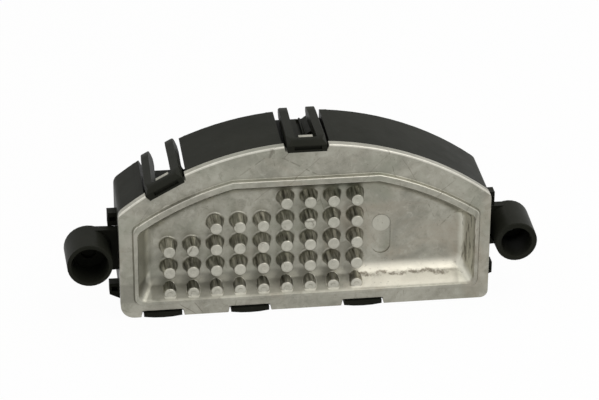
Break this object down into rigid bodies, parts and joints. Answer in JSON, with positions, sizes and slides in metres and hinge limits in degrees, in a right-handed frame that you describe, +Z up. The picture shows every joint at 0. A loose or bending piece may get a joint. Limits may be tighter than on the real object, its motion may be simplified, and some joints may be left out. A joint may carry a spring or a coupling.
{
  "type": "blower motor resistor",
  "caption": "Electronic blower motor resistor: cast heat sink dish with round pins on a snap-fit plastic housing with plug sockets and side mounting tubes.",
  "frame": {"origin": "centre of the part's plan at the level of its flat bottom", "axes": "+Z up, +X to the right seen from the heat sink, -Y out of the heat sink's pinned face, +Y out of the plug sockets"},
  "size_m": [0.1315, 0.0364, 0.0518],
  "materials": {
    "cast_aluminium": "as cast, slightly stained",
    "black_plastic": "satin moulded",
    "board_green": "solder mask",
    "package_black": "moulded epoxy",
    "silicone_grey": "matt",
    "zinc_steel": "zinc plated",
    "can_aluminium": "drawn can",
    "ferrite_grey": "moulded",
    "resistor_alloy": "bare alloy strip",
    "tinned_brass": "tin plated"
  },
  "bodies": {
    "root": {"heat_sink": "cast_aluminium", "housing": "black_plastic", "circuit_board": "board_green", "power_transistor_1": "package_black", "power_transistor_2": "package_black", "thermal_pad_1": "silicone_grey", "thermal_pad_2": "silicone_grey", "clamp_spring": "zinc_steel", "clamp_screw": "zinc_steel", "board_screw_1": "zinc_steel", "board_screw_2": "zinc_steel", "board_screw_3": "zinc_steel", "capacitor_1": "can_aluminium", "capacitor_2": "can_aluminium", "choke": "ferrite_grey", "shunt_resistor": "resistor_alloy", "control_chip": "package_black", "motor_blade_1": "tinned_brass", "motor_blade_2": "tinned_brass", "supply_blade_1": "tinned_brass", "supply_blade_2": "tinned_brass", "signal_pin_1": "tinned_brass", "signal_pin_2": "tinned_brass"}
  },
  "joints": []
}
